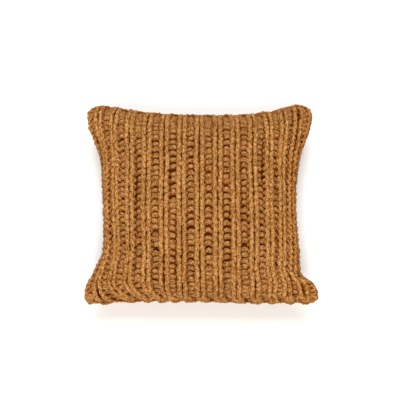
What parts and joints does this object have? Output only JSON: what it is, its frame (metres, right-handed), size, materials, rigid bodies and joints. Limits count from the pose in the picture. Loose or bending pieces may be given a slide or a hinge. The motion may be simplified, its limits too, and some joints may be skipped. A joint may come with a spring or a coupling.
{
  "type": "knitted cushion cover",
  "caption": "Square cushion cover in chunky rib knit, filled and lying on its back: crowned face and back, drawn-in sides and soft rounded ears.",
  "frame": {"origin": "centre of the bounding box's base, on the surface that the back lies on", "axes": "+X along the bottom edge, the cushion's longest extent and the picture's right; +Y up the ribs to the top edge; +Z through the thickness, out of the face"},
  "size_m": [0.4522, 0.3948, 0.1503],
  "materials": {
    "yarn": "chunky nubbly ochre yarn in one by one rib, matt"
  },
  "bodies": {
    "root": {"cushion": "yarn"}
  },
  "joints": []
}
